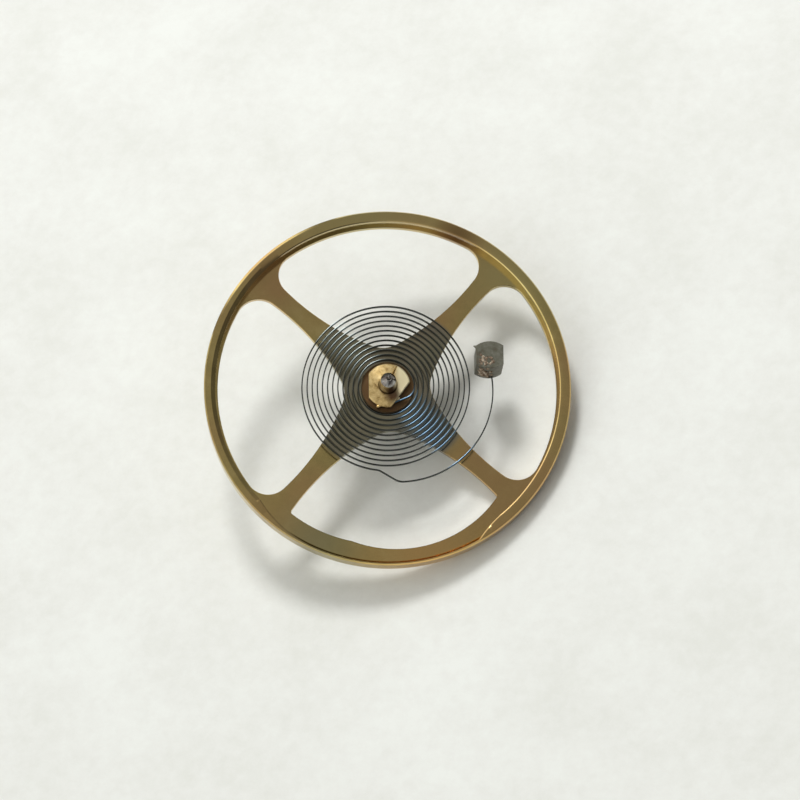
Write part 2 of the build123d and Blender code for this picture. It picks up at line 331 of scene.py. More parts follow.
def per_metre(millimetres):
    """The scale of a pattern whose features are this many millimetres apart."""
    return 1 / (millimetres * MILLIMETRE)


def stain_or_painted_shade(tree, place, under, centre, reach, shade, strength, firm=0.15):
    """Adds a soft round patch over the colour that comes in, a stain or painted shade, its centre and
    reach in millimetres. The part of its reach that is firm has the full strength."""
    away = add_node(tree, "ShaderNodeVectorMath", {
        0: place, 1: Vector(centre) * MILLIMETRE}, operation="DISTANCE")
    cover = add_node(tree, "ShaderNodeMapRange", {
        "Value": away.outputs["Value"], "From Min": firm * reach * MILLIMETRE,
        "From Max": reach * MILLIMETRE, "To Min": strength, "To Max": 0.0})
    return add_node(tree, "ShaderNodeMixRGB", {
        "Fac": cover.outputs["Result"], "Color1": under.outputs["Color"],
        "Color2": colour(shade)})


def turning_rings(tree, place, millimetres, strength):
    """Fine rings round the staff, as a turned face has them. They are coarser than real ones, so
    that they show."""
    rings = add_node(tree, "ShaderNodeTexWave", {
        "Vector": place, "Scale": math.tau / 20 * per_metre(millimetres), "Distortion": 0.6,
        "Detail": 2.0, "Detail Scale": 3.0},
        wave_type="RINGS", rings_direction="Z", wave_profile="SIN")
    return add_node(tree, "ShaderNodeBump", {
        "Height": rings.outputs["Fac"], "Strength": strength, "Distance": 0.01 * MILLIMETRE})


# Patches on the gilding, mostly stains, with painted shade and reflection under the hairspring: centre,
# reach, shade, strength and, where its edge is hard, the firm share
GILT_STAINS_AND_SHADE = [
    ((1.6, -8.6, 2.9), 4.4, "#e2b673", 0.65),    # warm gold at the front
    ((-1.0, 8.8, 2.9), 5.0, "#bdb47c", 0.65),    # olive at the back
    ((6.2, 6.0, 2.9), 3.4, "#c2b87e", 0.60),     # olive at the back on the right
    ((3.4, 7.5, 3.2), 1.5, "#765636", 0.75),     # a dark brown spot beside it
    ((-3.4, -7.6, 2.9), 2.6, "#a09c78", 0.60),   # greyish at the front on the left
    ((-5.3, 5.2, 2.9), 2.2, "#b98f66", 0.60),    # ruddy at the back on the left
    ((0, 0, 2.9), 4.3, "#808889", 0.60, 0.94),   # painted shade and reflection of the coils on the arms under the hairspring
    ((1.9, -1.9, 2.9), 1.9, "#46677f", 0.50),    # painted reflection of the blued hairspring on one arm
]


def gilt_brass_darkened():
    """Gilt brass, turned and stoned, then dulled by age: a satin olive gold, browned in large soft
    patches, and painted a dark grey under the hairspring as painted shade and reflection of the coils."""
    material, tree, shader, place = new_material("gilt_brass_darkened")
    blotches = add_node(tree, "ShaderNodeTexNoise", {
        "Vector": place, "Scale": per_metre(0.9), "Detail": 5.0, "Roughness": 0.6})
    tone = add_node(
        tree, "ShaderNodeValToRGB", {"Fac": blotches.outputs["Fac"]},
        stops=[(0.34, colour("#b3a067")), (0.52, colour("#c3ad70")), (0.68, colour("#d2bc7e"))])
    tarnish = add_node(tree, "ShaderNodeTexNoise", {
        "Vector": place, "Scale": per_metre(5.5), "Detail": 2.0})
    brown = add_node(tree, "ShaderNodeValToRGB", {"Fac": tarnish.outputs["Fac"]},
                     stops=[(0.45, (0, 0, 0, 1)), (0.68, (1, 1, 1, 1))])
    share = add_node(tree, "ShaderNodeMath", {0: brown.outputs["Color"], 1: 0.6},
                     operation="MULTIPLY")
    aged_and_shaded = add_node(tree, "ShaderNodeMixRGB", {
        "Fac": share.outputs["Value"], "Color1": tone.outputs["Color"],
        "Color2": colour("#c79a6c")}, blend_type="MIX")
    # Each patch is a stain, except the last two, which are painted shade and painted reflection of the
    # hairspring
    for patch in GILT_STAINS_AND_SHADE:
        aged_and_shaded = stain_or_painted_shade(tree, place, aged_and_shaded, *patch)
    gloss = add_node(tree, "ShaderNodeMapRange", {
        "Value": blotches.outputs["Fac"], "From Min": 0.3, "From Max": 0.7,
        "To Min": 0.20, "To Max": 0.12})
    shader.inputs["Metallic"].default_value = 1.0
    tree.links.new(gloss.outputs["Result"], shader.inputs["Roughness"])
    tree.links.new(aged_and_shaded.outputs["Color"], shader.inputs["Base Color"])
    return material


def brass_turned():
    """Brass, turned bright and left bare: a gold top with tool rings, stained on one side, and painted a
    bright cream on its right side as a painted highlight. Below the top it is a darker brown."""
    material, tree, shader, place = new_material("brass_turned")
    blotches = add_node(tree, "ShaderNodeTexNoise", {
        "Vector": place, "Scale": per_metre(0.22), "Detail": 5.0, "Roughness": 0.65})
    worn = add_node(
        tree, "ShaderNodeValToRGB", {"Fac": blotches.outputs["Fac"]},
        stops=[(0.30, colour("#8a6c42")), (0.42, colour("#c4a66c")), (0.60, colour("#dcc28a"))])
    across = add_node(tree, "ShaderNodeSeparateXYZ", {"Vector": place})
    # Right of the axis the top is painted a bright cream: a painted highlight, where the turned face catches
    # the lamp
    painted_highlight_side = add_node(tree, "ShaderNodeMapRange", {
        "Value": across.outputs["X"], "From Min": 0.30 * MILLIMETRE,
        "From Max": 0.55 * MILLIMETRE})
    top = add_node(tree, "ShaderNodeMixRGB", {
        "Fac": painted_highlight_side.outputs["Result"], "Color1": worn.outputs["Color"],
        "Color2": colour("#fff0c4")})
    top = stain_or_painted_shade(tree, place, top, (0.25, -0.50, COLLET_TOP), 0.46, "#6b4a38", 0.85, 0.3)
    raised = add_node(tree, "ShaderNodeMapRange", {
        "Value": across.outputs["Z"], "From Min": 3.40 * MILLIMETRE,
        "From Max": 3.56 * MILLIMETRE})
    tone = add_node(tree, "ShaderNodeMixRGB", {
        "Fac": raised.outputs["Result"], "Color1": colour("#6b5236"),
        "Color2": top.outputs["Color"]})
    shader.inputs["Metallic"].default_value = 0.8
    shader.inputs["Roughness"].default_value = 0.30
    tree.links.new(tone.outputs["Color"], shader.inputs["Base Color"])
    tree.links.new(turning_rings(tree, place, 0.03, 0.30).outputs["Normal"],
                   shader.inputs["Normal"])
    return material


def steel_polished():
    """Hardened steel, turned and burnished: a dark grey mirror, brown in places."""
    material, tree, shader, place = new_material("steel_polished")
    blotches = add_node(tree, "ShaderNodeTexNoise", {
        "Vector": place, "Scale": per_metre(0.25), "Detail": 4.0})
    tone = add_node(
        tree, "ShaderNodeValToRGB", {"Fac": blotches.outputs["Fac"]},
        stops=[(0.34, colour("#6e625c")), (0.5, colour("#8a8682")), (0.66, colour("#a9a8a4"))])
    shader.inputs["Metallic"].default_value = 1.0
    shader.inputs["Roughness"].default_value = 0.13
    tree.links.new(tone.outputs["Color"], shader.inputs["Base Color"])
    tree.links.new(turning_rings(tree, place, 0.04, 0.10).outputs["Normal"],
                   shader.inputs["Normal"])
    return material


def steel_blued_worn():
    """Spring steel, rolled flat and blued: a near black grey with a gloss on its edges. Along one
    diameter it is painted lighter as a painted highlight where the edges catch the lamp, blue in front."""
    material, tree, shader, place = new_material("steel_blued_worn")
    # A band along the diameter from back left to front right is a lighter colour: a painted highlight where
    # the strip's edges catch the lamp, blue on its front half
    band = add_node(tree, "ShaderNodeVectorMath", {
        0: place, 1: (0.707, 0.707, 0.0)}, operation="DOT_PRODUCT")
    aside = add_node(tree, "ShaderNodeMath", {0: band.outputs["Value"]}, operation="ABSOLUTE")
    off_glint_band = add_node(tree, "ShaderNodeMapRange", {
        "Value": aside.outputs["Value"], "From Min": 0.45 * MILLIMETRE,
        "From Max": 0.95 * MILLIMETRE})
    ahead = add_node(tree, "ShaderNodeVectorMath", {
        0: place, 1: (0.707, -0.707, 0.0)}, operation="DOT_PRODUCT")
    front = add_node(tree, "ShaderNodeMapRange", {
        "Value": ahead.outputs["Value"], "From Min": -0.5 * MILLIMETRE,
        "From Max": 0.5 * MILLIMETRE})
    blued = add_node(tree, "ShaderNodeMixRGB", {
        "Fac": front.outputs["Result"], "Color1": colour("#7b8483"),
        "Color2": colour("#66839a")})
    tone = add_node(tree, "ShaderNodeMixRGB", {
        "Fac": off_glint_band.outputs["Result"], "Color1": blued.outputs["Color"],
        "Color2": colour("#3d403d")})
    shader.inputs["Metallic"].default_value = 1.0
    shader.inputs["Roughness"].default_value = 0.30
    tree.links.new(tone.outputs["Color"], shader.inputs["Base Color"])
    return material


def steel_dull_spotted():
    """Soft steel with a dull oxide skin: an olive grey with hardly any gloss, finely pitted."""
    material, tree, shader, place = new_material("steel_dull_spotted")
    skin = add_node(tree, "ShaderNodeTexNoise", {
        "Vector": place, "Scale": per_metre(0.35), "Detail": 6.0, "Roughness": 0.65})
    tone = add_node(
        tree, "ShaderNodeValToRGB", {"Fac": skin.outputs["Fac"]},
        stops=[(0.30, colour("#574c40")), (0.42, colour("#5c5b4d")), (0.70, colour("#77766a"))])
    pits = add_node(tree, "ShaderNodeBump", {
        "Height": skin.outputs["Fac"], "Strength": 0.5, "Distance": 0.04 * MILLIMETRE})
    shader.inputs["Metallic"].default_value = 0.5
    shader.inputs["Roughness"].default_value = 0.5
    tree.links.new(tone.outputs["Color"], shader.inputs["Base Color"])
    tree.links.new(pits.outputs["Normal"], shader.inputs["Normal"])
    return material


def rust_and_cement():
    """Rust mixed with old cement: a crumbly brown with pinkish grey grains."""
    material, tree, shader, place = new_material("rust_and_cement")
    grains = add_node(tree, "ShaderNodeTexNoise", {
        "Vector": place, "Scale": per_metre(0.16), "Detail": 5.0})
    tone = add_node(
        tree, "ShaderNodeValToRGB", {"Fac": grains.outputs["Fac"]},
        stops=[(0.34, colour("#4a3a2c")), (0.46, colour("#75624f")),
               (0.57, colour("#9a8a76")), (0.68, colour("#c4b7a4"))])
    crumbs = add_node(tree, "ShaderNodeBump", {
        "Height": grains.outputs["Fac"], "Strength": 0.6, "Distance": 0.04 * MILLIMETRE})
    shader.inputs["Roughness"].default_value = 0.85
    tree.links.new(tone.outputs["Color"], shader.inputs["Base Color"])
    tree.links.new(crumbs.outputs["Normal"], shader.inputs["Normal"])
    return material


def ruby_synthetic():
    """Synthetic ruby, ground and polished: a clear deep red."""
    material, tree, shader, place = new_material("ruby_synthetic")
    clouds = add_node(tree, "ShaderNodeTexNoise", {
        "Vector": place, "Scale": per_metre(0.4), "Detail": 2.0})
    tone = add_node(tree, "ShaderNodeValToRGB", {"Fac": clouds.outputs["Fac"]},
                    stops=[(0.3, colour("#8e0d28")), (0.7, colour("#b8173a"))])
    shader.inputs["Roughness"].default_value = 0.05
    shader.inputs["IOR"].default_value = 1.77
    shader.inputs["Transmission Weight"].default_value = 0.6
    tree.links.new(tone.outputs["Color"], shader.inputs["Base Color"])
    return material


def paper_white():
    """Uncoated white paper: a soft greenish white with a faint mottle and fibres that just show."""
    material, tree, shader, place = new_material("paper_white")
    clouds = add_node(tree, "ShaderNodeTexNoise", {
        "Vector": place, "Scale": per_metre(5.0), "Detail": 3.0})
    fibres = add_node(tree, "ShaderNodeTexNoise", {
        "Vector": place, "Scale": per_metre(0.7), "Detail": 5.0, "Roughness": 0.7})
    both = add_node(tree, "ShaderNodeMath", {
        0: clouds.outputs["Fac"], 1: fibres.outputs["Fac"]}, operation="ADD")
    mottle = add_node(tree, "ShaderNodeMath", {0: both.outputs["Value"], 1: 0.5},
                      operation="MULTIPLY")
    tone = add_node(
        tree, "ShaderNodeValToRGB", {"Fac": mottle.outputs["Value"]},
        stops=[(0.36, colour("#dfe0da")), (0.50, colour("#e4e5e0")), (0.64, colour("#e8eae5"))])
    tooth = add_node(tree, "ShaderNodeBump", {
        "Height": fibres.outputs["Fac"], "Strength": 0.15, "Distance": 0.1 * MILLIMETRE})
    shader.inputs["Roughness"].default_value = 0.9
    tree.links.new(tone.outputs["Color"], shader.inputs["Base Color"])
    tree.links.new(tooth.outputs["Normal"], shader.inputs["Normal"])
    return material


gilt = gilt_brass_darkened()
brass = brass_turned()
polished_steel = steel_polished()
blued_steel = steel_blued_worn()
dull_steel = steel_dull_spotted()
rust = rust_and_cement()
ruby = ruby_synthetic()
paper = paper_white()


# Wheel: the rim is turned as a ring, its poising relief is shaped, and the web of arms is joined

# The relief's outline is three arcs, each through three places with their azimuth and radius.
# The last place of an arc is the first of the next
RELIEF_STEPS = [(222.0, RIM_INNER_RADIUS), (232.0, 8.62), (244.0, LIP_RADIUS), (271.75, LIP_RADIUS),
                (299.5, LIP_RADIUS), (303.5, 8.528), (310.0, RIM_INNER_RADIUS)]

# Windows. The front one has two round cuts, each with its centre and radius
ARM_AZIMUTH = 48.4
ARM_LEAST_WIDTH = 0.86
ARM_LEAST_DISTANCE = 6.10
ARM_SIDE_RADIUS = 12.0
HUB_FILLET = 1.40
WINDOW_FILLET = 1.10
FRONT_FILLET = 0.15
FRONT_AZIMUTH = 270
LEFT_CUT = polar(1.00, 245), 6.80
RIGHT_CUT = polar(2.07, 280), 5.93
CUTS_MEET = polar(7.8, 262)
WEB_RADIUS = 8.60
WEB_BORE = 0.62
WEB_EDGE = 0.02

# Corners of the rim's section, each with its radius and its level. Its underside stands just
# below the web's, and the relief's floor just above the web, so that no two faces fall together
RIM_UNDERSIDE = RIM_BOTTOM - 0.002
HEEL_RADIUS = 8.80
FLOOR_LEVEL = 2.905
SHOULDER = (8.84, RIM_TOP)
FLANK = (RIM_RADIUS, 3.42)
FACE = (8.56, RIM_TOP)
BEVEL = (8.41, 3.43)
INNER = (RIM_INNER_RADIUS, 3.38)
FOOT = (RIM_INNER_RADIUS, FLOOR_LEVEL)
RIM_STEPS = 720
CORNER_REACH = 0.005    # a vertex this near to a corner belongs to it

# Inner bevel: filed deep between two azimuths and hardly at all elsewhere
LEAST_BEVEL = 0.010
FILED_BEVEL = 0.075
FILED_FROM, FADE_IN = 125, 20
FILED_TO, FADE_OUT = 232, 12
BEVEL_WIDTH = 0.045
BEVEL_ROUND = 0.026

# What the relief leaves of the raised face, and how its floor runs out
LEAST_FACE = 0.06
FACE_LIMIT = 8.835
FLOOR_OVERLAP = 0.02
FLOOR_START = 0.03

# Wear on the outer edge
WORN_AZIMUTH = 132
WORN_REACH = 32
WORN_FADE = 20
SHOULDER_WEAR = 0.06
FLANK_WEAR = 0.022


def through(first, second, third, azimuth):
    """The radius at an azimuth of the circle through three points."""
    a, b, c = (polar(radius, place) for place, radius in (first, second, third))
    d = 2 * (a.x * (b.y - c.y) + b.x * (c.y - a.y) + c.x * (a.y - b.y))
    aa, bb, cc = a.length_squared, b.length_squared, c.length_squared
    centre = Vector((
        (aa * (b.y - c.y) + bb * (c.y - a.y) + cc * (a.y - b.y)) / d,
        (aa * (c.x - b.x) + bb * (a.x - c.x) + cc * (b.x - a.x)) / d,
    ))
    radius = (a - centre).length
    ray = polar(1, azimuth)
    middle = ray.dot(centre)
    reach = math.sqrt(radius ** 2 - centre.length_squared + middle ** 2)
    return min((middle - reach, middle + reach), key=lambda r: abs(r - b.length))


def relief_radius(azimuth):
    """How far out the relief is milled at an azimuth, or 0 where it isn't."""
    azimuth %= 360
    for start in (0, 2, 4):
        low, middle, high = RELIEF_STEPS[start:start + 3]
        if low[0] <= azimuth <= high[0]:
            return through(low, middle, high, azimuth)
    return 0.0


def crossing(first, first_radius, second, second_radius, near):
    """Where two circles cross, nearest to a given point."""
    apart = second - first
    along = (first_radius ** 2 - second_radius ** 2 + apart.length_squared) / (2 * apart.length)
    aside = math.sqrt(first_radius ** 2 - along ** 2)
    apart.normalize()
    across = Vector((-apart.y, apart.x)) * aside
    middle = first + apart * along
    return min((middle + across, middle - across), key=lambda point: (point - near).length)


def window_outline(sides):
    """A window bounded by arcs. Each side has the centre and radius of its arc, the rounding of
    the corner that follows it, negative where the corner points into the window, and a place near
    that corner."""
    corners = []
    for (centre, radius, rounding, near), (other, other_radius, _, _) in zip(
            sides, sides[1:] + sides[:1]):
        middle = crossing(centre, radius - rounding, other, other_radius - rounding, near)
        corners.append((middle, azimuth_of(middle - centre), azimuth_of(middle - other)))
    points = []
    for index, (centre, radius, rounding, _) in enumerate(sides):
        start, (middle, leave, enter) = corners[index - 1][2], corners[index]
        points += arc(centre, radius, start, start + (leave - start) % 360, 1.0)
        turn = (enter - leave + 180) % 360 - 180
        begin = leave if rounding > 0 else leave + 180
        points += arc(middle, abs(rounding), begin, begin + turn, 6)[1:-1]
    return points


def window_between(arm):
    """The window that follows an arm, counter-clockwise."""
    def side(azimuth, way):
        return (polar(ARM_LEAST_DISTANCE, azimuth)
                + polar(ARM_LEAST_WIDTH / 2 + ARM_SIDE_RADIUS, azimuth + way))

    first, last = side(arm, 90), side(arm + 90, -90)
    rim_corners = polar(8, arm + 5), polar(8, arm + 85)
    hub = (last, ARM_SIDE_RADIUS, HUB_FILLET, polar(2, arm + 45))
    if arm < FRONT_AZIMUTH < arm + 90:
        return window_outline([
            (first, ARM_SIDE_RADIUS, FRONT_FILLET, rim_corners[0]),
            (*LEFT_CUT, -FRONT_FILLET, CUTS_MEET),
            (*RIGHT_CUT, FRONT_FILLET, rim_corners[1]),
            hub,
        ])
    return window_outline([
        (first, ARM_SIDE_RADIUS, WINDOW_FILLET, rim_corners[0]),
        (Vector((0, 0)), WINDOW_RADIUS, WINDOW_FILLET, rim_corners[1]),
        hub,
    ])


def bevel_drop(azimuth):
    """How deep the inner bevel of the raised face is filed at an azimuth."""
    share = max(min((azimuth - FILED_FROM) / FADE_IN, (FILED_TO - azimuth) / FADE_OUT, 1), 0)
    return LEAST_BEVEL + FILED_BEVEL * share


def moved_corners(azimuth):
    """Where the upper corners of the rim's section come to stand at an azimuth. Wear rounds the
    outer edge on the left, the relief moves the inner corners out, and the file lowers them."""
    edge = max(relief_radius(azimuth), RIM_INNER_RADIUS)
    drop = bevel_drop(azimuth) if edge == RIM_INNER_RADIUS else LEAST_BEVEL
    worn = min(max((WORN_REACH - abs(azimuth - WORN_AZIMUTH)) / WORN_FADE, 0), 1)
    milled = edge > RIM_INNER_RADIUS + FLOOR_START
    return {
        SHOULDER: (SHOULDER[0] - SHOULDER_WEAR * worn, RIM_TOP),
        FLANK: (RIM_RADIUS, FLANK[1] + FLANK_WEAR * worn),
        FACE: (min(max(FACE[0], edge + LEAST_FACE), FACE_LIMIT), RIM_TOP),
        BEVEL: (max(BEVEL[0], edge + BEVEL_WIDTH), RIM_TOP - drop),
        INNER: (edge, RIM_TOP - drop - BEVEL_ROUND),
        FOOT: (edge - FLOOR_OVERLAP if milled else RIM_INNER_RADIUS, FLOOR_LEVEL),
    }


def make_wheel():
    wheel = turned(
        "balance_wheel_gilt",
        [(RIM_INNER_RADIUS, RIM_UNDERSIDE), (HEEL_RADIUS, RIM_UNDERSIDE), (RIM_RADIUS, 2.70),
         FLANK, SHOULDER, FACE, BEVEL, INNER, FOOT],
        RIM_STEPS, closed=True,
    )
    for vertex in wheel.data.vertices:
        radius, level = vertex.co.xy.length, vertex.co.z
        azimuth = azimuth_of(vertex.co) % 360
        for corner, (new_radius, new_level) in moved_corners(azimuth).items():
            if abs(radius - corner[0]) < CORNER_REACH and abs(level - corner[1]) < CORNER_REACH:
                place = polar(new_radius, azimuth)
                vertex.co = (place.x, place.y, new_level)
                break

    loops = [arc((0, 0), WEB_RADIUS, 0, 360)[:-1], arc((0, 0), WEB_BORE, 0, 360, 6)[:-1]]
    loops += [window_between(ARM_AZIMUTH + 90 * index) for index in range(4)]
    web = cut_from_sheet("web", loops, ARM_BOTTOM, ARM_TOP, WEB_EDGE)
    combine(wheel, web, "UNION")
    finish_piece(wheel, "balance", gilt, ["balance_wheel"], 18)


make_wheel()


# Staff, from the lower pivot to the upper one, with hollowed cones behind the pivots

def make_staff():
    lower_pivot = [(0.03, 0.0), (0.055, 0.008), (0.07, 0.03), (0.07, 0.36)]
    lower_cone = [(0.085, 0.40), (0.12, 0.45), (0.20, 0.505), (0.22, 0.52)]
    roller_seats = [(0.29, 0.52), (0.30, 0.53), (0.30, ROLLER_BOTTOM), (0.36, ROLLER_BOTTOM),
                    (0.36, ROLLER_TOP)]
    neck = [(0.53, ROLLER_TOP), (0.55, 1.78), (0.55, 2.20)]
    flange = [(0.97, 2.20), (1.00, 2.23), (1.00, 2.57), (0.97, ARM_BOTTOM)]
    wheel_seat = [(0.622, ARM_BOTTOM), (0.622, ARM_TOP)]
    rivet = [(0.735, ARM_TOP), (0.74, 2.91), (0.705, 2.98)]
    collet_seat = [(0.435, 2.98), (0.435, 3.60), (0.425, COLLET_TOP + 0.02)]
    upper_arbor = [(0.37, 4.51), (0.345, 4.54)]
    upper_cone = [(0.22, 4.68), (0.16, 4.72), (0.105, 4.76), (0.075, 4.81)]
    upper_pivot = [(0.07, 4.85), (0.07, 5.13), (0.055, 5.152), (0.03, STAFF_TOP)]
    profile = (lower_pivot + lower_cone + roller_seats + neck + flange + wheel_seat + rivet
               + collet_seat + upper_arbor + upper_cone + upper_pivot)
    staff = turned("balance_staff_steel", profile, 96)
    finish_piece(staff, "balance", polished_steel, ["balance_staff"])


make_staff()


# Collet: base and boss share a saw slit, the boss has two flats, and a cross hole takes the pin

SLIT_AZIMUTH = 65.0
TAIL_AZIMUTH = 22.0
COLLET_BORE = 0.438
COLLET_BASE_RADIUS = 1.27
COLLET_BOSS_RADIUS = 1.09
BOSS_BOTTOM = COLLET_BOTTOM + 0.04
BASE_SLIT = 0.024
BOSS_SLIT = 0.026
BASE_EDGE = 0.012
BOSS_EDGE = 0.045
BOSS_FLATS = (180.0, 0.92), (324.0, 0.76)
COLLET_HOLE_RADIUS = 0.16
COLLET_HOLE_DISTANCE = 0.80


def split_ring(radius, bore, slit, flats=()):
    """The outline of a ring that is sawn through on one side and filed flat on others. It has a
    point every 2.5 degrees, and every degree on a flat."""
    half_outer = math.degrees(math.asin(slit / 2 / radius))
    half_inner = math.degrees(math.asin(slit / 2 / bore))
    outer = []
    for step in range(721):
        turn = half_outer + (360 - 2 * half_outer) * step / 720
        reach = radius
        for flat_azimuth, distance in flats:
            across = math.cos(math.radians(turn + SLIT_AZIMUTH - flat_azimuth))
            if across > 0:
                reach = min(reach, distance / across)
        if step % 5 == 0 or reach < radius and step % 2 == 0:
            outer.append(polar(reach, turn + SLIT_AZIMUTH))
    inner = arc((0, 0), bore, SLIT_AZIMUTH - half_inner, SLIT_AZIMUTH - 360 + half_inner, 5)
    return outer + inner


def make_collet(hole):
    """The boss reaches down into the base, and the hole runs level through the boss."""
    base = cut_from_sheet("collet_base", [split_ring(COLLET_BASE_RADIUS, COLLET_BORE, BASE_SLIT)],
                          COLLET_BOTTOM, COLLET_STEP_LEVEL, BASE_EDGE)
    boss = cut_from_sheet("collet_brass",
                          [split_ring(COLLET_BOSS_RADIUS, COLLET_BORE, BOSS_SLIT, BOSS_FLATS)],
                          BOSS_BOTTOM, COLLET_TOP, BOSS_EDGE)
    combine(boss, base, "UNION")
    drill(boss, 48, COLLET_HOLE_RADIUS, THROUGH, turn_along(polar(1, TAIL_AZIMUTH), hole))
    finish_piece(boss, "balance", brass, ["collet"])


def make_pin(name, thick, thin, length, back, along, place, flat, node, body):
    """A taper pin, filed flat where it presses on the strip: turned, cut flat and laid in its
    hole."""
    profile = [(thick - 0.03, -back), (thick, -back + 0.02),
               (thin, length - 0.02), (thin - 0.03, length)]
    pin = turned(name, profile, 40)
    file_flat(pin, flat)
    pin.matrix_world = turn_along(along, place)
    settle(pin)
    finish_piece(pin, body, brass, [node])


collet_hole = (*polar(COLLET_HOLE_DISTANCE, TAIL_AZIMUTH - 90), SPRING_LEVEL)
make_collet(collet_hole)
make_pin("collet_pin_brass", 0.152, 0.135, 0.30, 0.906, polar(1, TAIL_AZIMUTH), collet_hole,
         0.052, "collet_pin", "balance")


# Hairspring: one strip, laid along arcs and runs as a spring maker forms it

COIL_INNER_RADIUS = 1.30
COIL_OUTER_RADIUS = 4.21
COIL_DRIFT = 0.004
FULL_TURNS = 11
KINK_AZIMUTH = 262.8
TAIL_OFFSET = 0.89
TAIL_ARC_RADIUS = 0.60
TAIL_REACH = 0.36
KINK_ARC_RADIUS = 0.45
KINK_TURN = 24.0
LEAD_ARC_RADIUS = 0.80
TERMINAL_RADIUS = 4.60
TERMINAL_SHIFT = 0.53
TERMINAL_SHIFT_AZIMUTH = 340.0
TERMINAL_END_AZIMUTH = 6.0
STUD_STAND_OFF = 0.83
STUD_STRIP_REACH = 0.52
STRIP_EDGE = 0.018


class Route:
    """A line drawn by runs and arcs, each starting where the last one ended."""

    def __init__(self, place, azimuth):
        self.points, self.azimuth = [Vector(place)], azimuth

    def run(self, length, pieces=4):
        start, step = self.points[-1], polar(length / pieces, self.azimuth)
        self.points += [start + step * (i + 1) for i in range(pieces)]

    def bend(self, radius, sweep, step=2.5):
        side = 90 if sweep > 0 else -90
        centre = self.points[-1] + polar(radius, self.azimuth + side)
        start = self.azimuth - side
        self.points += arc(centre, radius, start, start + sweep, step)[1:]
        self.azimuth += sweep


def hairspring_route():
    """The whole line of the strip, how many of its points lie before the coils and before the stud,
    and the end of the terminal curve with its heading."""
    along, across = polar(1, TAIL_AZIMUTH), polar(1, TAIL_AZIMUTH - 90)
    tail_side = TAIL_OFFSET - TAIL_ARC_RADIUS
    tail_run = math.sqrt((COIL_INNER_RADIUS - TAIL_ARC_RADIUS) ** 2 - tail_side ** 2)
    coil_start = azimuth_of(along * tail_run + across * tail_side)
    sweep = 360 * FULL_TURNS + KINK_AZIMUTH - coil_start
    pitch = (COIL_OUTER_RADIUS - COIL_INNER_RADIUS) * 360 / sweep
    half_turns = int((sweep - 90) // 180)
    route = Route(across * TAIL_OFFSET - along * TAIL_REACH, TAIL_AZIMUTH)
    route.run(TAIL_REACH + tail_run, 8)
    route.bend(TAIL_ARC_RADIUS, coil_start + 90 - TAIL_AZIMUTH, 6)
    tail_points = len(route.points)
    route.bend(COIL_INNER_RADIUS + pitch / 8, 90)
    for turn in range(1, half_turns + 2):
        radius = COIL_INNER_RADIUS + pitch * (turn / 2 - 1 / 8) + turn % 2 * COIL_DRIFT / 2
        route.bend(radius, 180 if turn <= half_turns else sweep - 90 - 180 * half_turns)
    route.bend(KINK_ARC_RADIUS, -KINK_TURN, 6)
    lead = polar(1, route.azimuth)
    reach = (route.points[-1] + polar(LEAD_ARC_RADIUS, route.azimuth + 90)
             - polar(TERMINAL_SHIFT, TERMINAL_SHIFT_AZIMUTH))
    ahead = reach.dot(lead)
    inside = (TERMINAL_RADIUS - LEAD_ARC_RADIUS) ** 2
    lead_run = math.sqrt(ahead ** 2 - reach.length_squared + inside) - ahead
    terminal_start = azimuth_of(reach + lead * lead_run)
    route.run(lead_run)
    route.bend(LEAD_ARC_RADIUS, terminal_start + 90 - azimuth_of(lead), 4)
    route.bend(TERMINAL_RADIUS, TERMINAL_END_AZIMUTH - terminal_start, 2.0)
    terminal_points = len(route.points)
    end, heading = route.points[-1], polar(1, route.azimuth)
    route.run(STUD_STAND_OFF + STUD_STRIP_REACH, 8)
    return route.points, tail_points, terminal_points, end, heading


def spread_winding(strip, points, tail_points, terminal_points):
    """Shares the swing evenly along the strip: none at the collet, all of it at the stud."""
    lengths = [0.0]
    for first, second in zip(points, points[1:]):
        lengths.append(lengths[-1] + (second - first).length)
    start, stop = lengths[tail_points - 1], lengths[terminal_points - 1]
    tree = kdtree.KDTree(len(points))
    for index, point in enumerate(points):
        tree.insert((point.x * MILLIMETRE, point.y * MILLIMETRE, 0), index)
    tree.balance()
    weights = strip.data.attributes["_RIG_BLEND"].data
    for vertex, weight in zip(strip.data.vertices, weights):
        _, index, _ = tree.find((vertex.co.x, vertex.co.y, 0))
        weight.value = min(1.0, max(0.0, (lengths[index] - start) / (stop - start)))


def make_hairspring():
    """Makes the strip and gives the end of its terminal curve with its heading."""
    points, tail_points, terminal_points, end, heading = hairspring_route()
    curve = flat_curve("hairspring_steel", [points], False)
    curve.extrude = STRIP_HEIGHT / 2
    strip = mesh_at("hairspring_steel", curve, SPRING_LEVEL)
    wall = strip.modifiers.new("thickness", "SOLIDIFY")
    wall.thickness, wall.offset, wall.use_even_offset = STRIP_THICKNESS, 0.0, True
    bpy.ops.object.modifier_apply(modifier=wall.name)
    edges = strip.modifiers.new("edges", "BEVEL")
    edges.width, edges.segments = STRIP_EDGE, 2
    edges.limit_method, edges.angle_limit = "ANGLE", math.radians(60)
    edges.use_clamp_overlap = False
    bpy.ops.object.modifier_apply(modifier=edges.name)
    finish_piece(strip, None, blued_steel, ["hairspring"], 40)
    tip = (end + heading * STUD_STAND_OFF) * MILLIMETRE
    level = SPRING_LEVEL * MILLIMETRE
    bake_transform(strip, "balance", "stud", start=(0, 0, level), end=(tip.x, tip.y, level))
    spread_winding(strip, points, tail_points, terminal_points)
    return end, heading


terminal_end, end_heading = make_hairspring()


# Stud, its pin, and the rust and old cement on it

STUD_HALF_WIDTH = 0.655
STUD_CORNER = 0.46
STUD_EDGE = 0.02
STUD_HOLE_RADIUS = 0.17
STUD_STRIP_OFFSET = 0.11

outward = Vector((end_heading.y, -end_heading.x))
stud_place = terminal_end + end_heading * STUD_STAND_OFF - outward * STUD_STRIP_OFFSET

